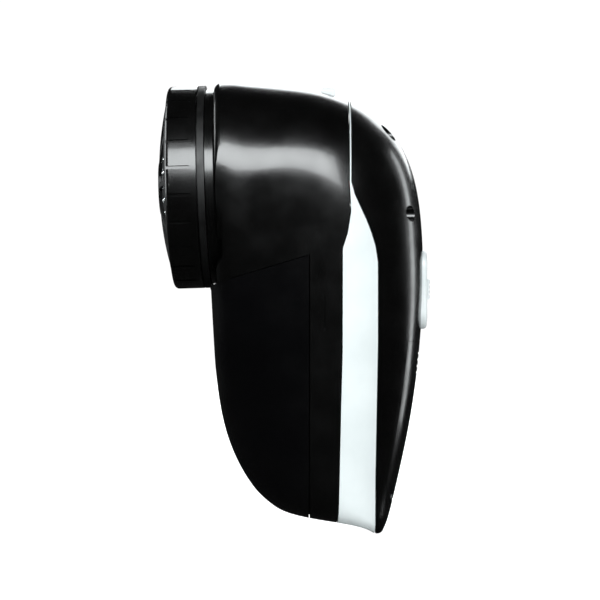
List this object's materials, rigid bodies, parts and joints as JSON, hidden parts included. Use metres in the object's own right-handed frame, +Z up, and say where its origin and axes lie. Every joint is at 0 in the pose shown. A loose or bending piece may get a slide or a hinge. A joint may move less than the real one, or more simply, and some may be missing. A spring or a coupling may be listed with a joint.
{
  "type": "fabric shaver",
  "caption": "Battery fabric shaver: round perforated foil head with a turning length guard on a pistol-shaped body with a lift-off lint container.",
  "frame": {"origin": "in the plane of symmetry, midway between the foremost and rearmost points, at the height of the lowest tip of the handle", "axes": "+Z up the handle, -X out of the shaving face, +X towards the switch, +Y to the left of someone who looks along -X"},
  "size_m": [0.0851, 0.0644, 0.1406],
  "materials": {
    "black_abs": "glossy black ABS",
    "brass": "nickel-plated brass strip",
    "cell_jacket": "printed jacket of a cell",
    "ferrite": "sintered ferrite",
    "foil_steel": "polished perforated stainless steel",
    "iron": "laminated iron",
    "nylon": "natural nylon",
    "satin_abs": "satin black ABS",
    "silver_abs": "pale silver-grey ABS",
    "smoke_pc": "dark smoked polycarbonate",
    "steel": "steel",
    "white_abs": "pale grey ABS",
    "wire_black": "black PVC insulation",
    "wire_red": "red PVC insulation",
    "zinc_steel": "zinc-plated steel"
  },
  "bodies": {
    "handle": {"front_housing": "black_abs", "handle_core": "silver_abs", "back_shell": "black_abs", "lint_duct": "satin_abs", "motor_can": "zinc_steel", "motor_end_cap": "satin_abs", "switch_bezel": "white_abs", "slide_switch": "satin_abs", "button_spring": "steel", "battery_tray": "satin_abs", "contact_link": "brass", "door_hinge_pin": "steel", "motor_magnet_1": "ferrite", "motor_magnet_2": "ferrite", "motor_terminal_1": "brass", "motor_terminal_2": "brass", "motor_screw_1": "zinc_steel", "motor_screw_2": "zinc_steel", "battery_1": "cell_jacket", "battery_2": "cell_jacket", "contact_plate_1": "brass", "contact_plate_2": "brass", "contact_spring_1": "steel", "contact_spring_2": "steel", "housing_screw_1": "zinc_steel", "housing_screw_2": "zinc_steel", "housing_screw_3": "zinc_steel", "housing_screw_4": "zinc_steel", "wire_cell_to_switch": "wire_red", "wire_switch_to_motor": "wire_red", "wire_cell_to_motor": "wire_black"},
    "foil_head": {"foil_frame": "satin_abs", "foil": "foil_steel"},
    "adjuster": {"adjuster_ring": "black_abs"},
    "guard": {"length_guard": "satin_abs"},
    "cutter": {"blade_carrier": "nylon", "blade_1": "steel", "blade_2": "steel", "blade_3": "steel", "cutter_spring": "steel", "drive_coupling": "nylon", "motor_shaft": "steel", "motor_armature": "iron"},
    "container": {"lint_container": "smoke_pc"},
    "door": {"battery_door": "black_abs"},
    "switch": {"switch_knob": "white_abs", "switch_slider": "nylon"},
    "button": {"release_button": "white_abs"}
  },
  "joints": [
    {"name": "head_pull", "type": "slide", "parent": "handle", "child": "foil_head", "axis": [-0.9996, 0, -0.0297], "range_m": [0, 0.03]},
    {"name": "length_turn", "type": "hinge", "parent": "foil_head", "child": "adjuster", "pos_m": [-0.0341, 0, 0.10752], "axis": [-0.9996, 0, -0.0297], "range_deg": [0, 60]},
    {"name": "guard_lift", "type": "slide", "parent": "foil_head", "child": "guard", "axis": [-0.9996, 0, -0.0297], "range_m": [0, 0.002]},
    {"name": "cutter_spin", "type": "hinge", "parent": "handle", "child": "cutter", "pos_m": [-0.0241, 0, 0.10782], "axis": [-0.9996, 0, -0.0297], "continuous": true},
    {"name": "container_pull", "type": "slide", "parent": "handle", "child": "container", "axis": [-0.5, 0, -0.866], "range_m": [0, 0.05]},
    {"name": "door_swing", "type": "hinge", "parent": "handle", "child": "door", "pos_m": [0.0296, 0, 0.01152], "axis": [0, 1, 0], "range_deg": [0, 85]},
    {"name": "switch_slide", "type": "slide", "parent": "handle", "child": "switch", "axis": [0, 0, 1], "range_m": [0, 0.0045]},
    {"name": "button_press", "type": "slide", "parent": "handle", "child": "button", "axis": [0, 0, -1], "range_m": [0, 0.001], "stiffness_N_per_m": 400, "springref_m": -0.001, "deforming": ["button_spring"]}
  ],
  "couplings": [
    {"joint": "length_turn", "follows": "guard_lift", "rad_per_m": 523.6}
  ]
}
